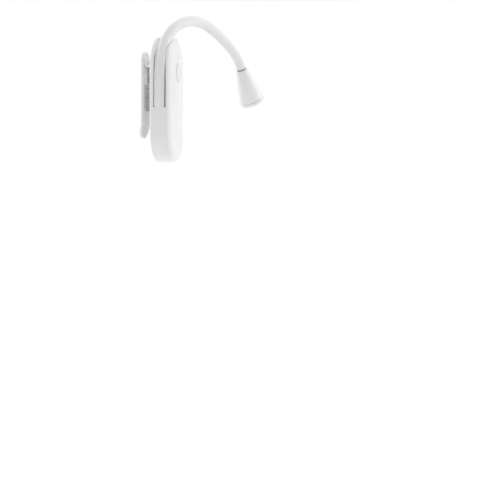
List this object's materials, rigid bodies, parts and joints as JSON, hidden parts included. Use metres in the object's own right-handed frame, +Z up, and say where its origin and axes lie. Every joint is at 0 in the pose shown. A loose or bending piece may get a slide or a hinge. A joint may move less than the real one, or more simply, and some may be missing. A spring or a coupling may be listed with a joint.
{
  "type": "clip on reading lamp",
  "caption": "Small clip on reading lamp: flat pill shaped body with a sprung clip, a bendable neck in a side channel and a bell shaped head.",
  "frame": {"origin": "centre of the gripping face of the rubber pad on the body's back", "axes": "+X out of the front cover, +Y along the body's width from the neck's side to the other, +Z up to the body's top"},
  "size_m": [0.0595, 0.0774, 0.0796],
  "materials": {
    "shell": "satin",
    "button": "satin",
    "neck": "smooth satin",
    "pad": "matte",
    "steel": "plain",
    "contact": "plated",
    "cell": "plain",
    "board": "coated",
    "black": "matte",
    "wire": "satin",
    "collar": "matte",
    "plate": "plain",
    "led": "glowing",
    "reflector": "matte",
    "lens": "frosted, glowing"
  },
  "bodies": {
    "body": {"rear_shell": "shell", "front_shell": "shell", "shell_screws": "steel", "body_pad": "pad", "battery_door": "shell", "door_screw": "steel", "door_contact": "contact", "coin_cells": "cell", "front_contact": "contact", "side_contact": "contact", "circuit_board": "board", "tact_switch": "black", "driver_chip": "black", "chip_resistors": "black", "lead_wires": "wire", "hinge_bracket": "shell", "hinge_pin": "steel", "clip_spring": "steel", "root_ferrule": "steel", "neck_root": "neck"},
    "button": {"power_button": "button", "switch_plunger": "button"},
    "clip": {"clip_lever": "shell", "jaw_pad": "pad", "clip_spring_arm": "steel"},
    "link_01": {"neck_link_01": "neck"},
    "link_02": {"neck_link_02": "neck"},
    "link_03": {"neck_link_03": "neck"},
    "link_04": {"neck_link_04": "neck"},
    "link_05": {"neck_link_05": "neck"},
    "link_06": {"neck_link_06": "neck"},
    "link_07": {"neck_link_07": "neck"},
    "link_08": {"neck_link_08": "neck"},
    "link_09": {"neck_link_09": "neck"},
    "link_10": {"neck_link_10": "neck"},
    "link_11": {"neck_link_11": "neck"},
    "head": {"neck_tip": "neck", "tip_ferrule": "steel", "head_collar": "collar", "head_shell": "shell", "led_board": "plate", "led_chip": "led", "reflector": "reflector", "head_lens": "lens", "head_bezel": "shell", "head_wires": "wire"}
  },
  "joints": [
    {"name": "neck_bend_01", "type": "hinge", "parent": "body", "child": "link_01", "pos_m": [0.00525, -0.0141, 0.013], "axis": [-0.8686, 0.4955, 0], "range_deg": [-6, 0.3]},
    {"name": "neck_bend_02", "type": "hinge", "parent": "link_01", "child": "link_02", "pos_m": [0.00566, -0.01337, 0.02096], "axis": [-0.8686, 0.4955, 0], "range_deg": [-13.3, 0.6]},
    {"name": "neck_turn", "type": "hinge", "parent": "link_02", "child": "link_03", "pos_m": [0.00673, -0.01151, 0.02709], "axis": [0.1638, 0.2871, 0.9438], "range_deg": [-80, 80]},
    {"name": "neck_bend_03", "type": "hinge", "parent": "link_03", "child": "link_04", "pos_m": [0.00747, -0.01022, 0.03134], "axis": [-0.8686, 0.4955, 0], "range_deg": [-22.1, 1.5]},
    {"name": "neck_bend_04", "type": "hinge", "parent": "link_04", "child": "link_05", "pos_m": [0.01028, -0.00528, 0.03779], "axis": [-0.8686, 0.4955, 0], "range_deg": [-26.2, 6]},
    {"name": "neck_bend_05", "type": "hinge", "parent": "link_05", "child": "link_06", "pos_m": [0.01396, 0.00117, 0.04214], "axis": [-0.8686, 0.4955, 0], "range_deg": [-23.9, 8]},
    {"name": "neck_bend_06", "type": "hinge", "parent": "link_06", "child": "link_07", "pos_m": [0.01808, 0.0084, 0.04429], "axis": [-0.8686, 0.4955, 0], "range_deg": [-25.6, 6.5]},
    {"name": "neck_bend_07", "type": "hinge", "parent": "link_07", "child": "link_08", "pos_m": [0.02234, 0.01586, 0.04383], "axis": [-0.8686, 0.4955, 0], "range_deg": [-22.7, 8]},
    {"name": "neck_bend_08", "type": "hinge", "parent": "link_08", "child": "link_09", "pos_m": [0.02639, 0.02297, 0.0412], "axis": [-0.8686, 0.4955, 0], "range_deg": [-15.4, 10]},
    {"name": "neck_bend_09", "type": "hinge", "parent": "link_09", "child": "link_10", "pos_m": [0.03025, 0.02973, 0.03754], "axis": [-0.8686, 0.4955, 0], "range_deg": [-12.7, 10]},
    {"name": "neck_bend_10", "type": "hinge", "parent": "link_10", "child": "link_11", "pos_m": [0.03395, 0.03621, 0.03325], "axis": [-0.8686, 0.4955, 0], "range_deg": [-17.5, 10]},
    {"name": "neck_bend_11", "type": "hinge", "parent": "link_11", "child": "head", "pos_m": [0.03724, 0.04198, 0.02779], "axis": [-0.8686, 0.4955, 0], "range_deg": [-28.2, 4]},
    {"name": "clip_hinge", "type": "hinge", "parent": "body", "child": "clip", "pos_m": [-0.0029, 0, 0.02], "axis": [0, 1, 0], "range_deg": [-9, 28], "stiffness_Nm_per_rad": 0.06, "springref_deg": -28.65},
    {"name": "button_press", "type": "slide", "parent": "body", "child": "button", "axis": [-1, 0, 0], "range_m": [0, 0.00035], "stiffness_N_per_m": 400}
  ]
}
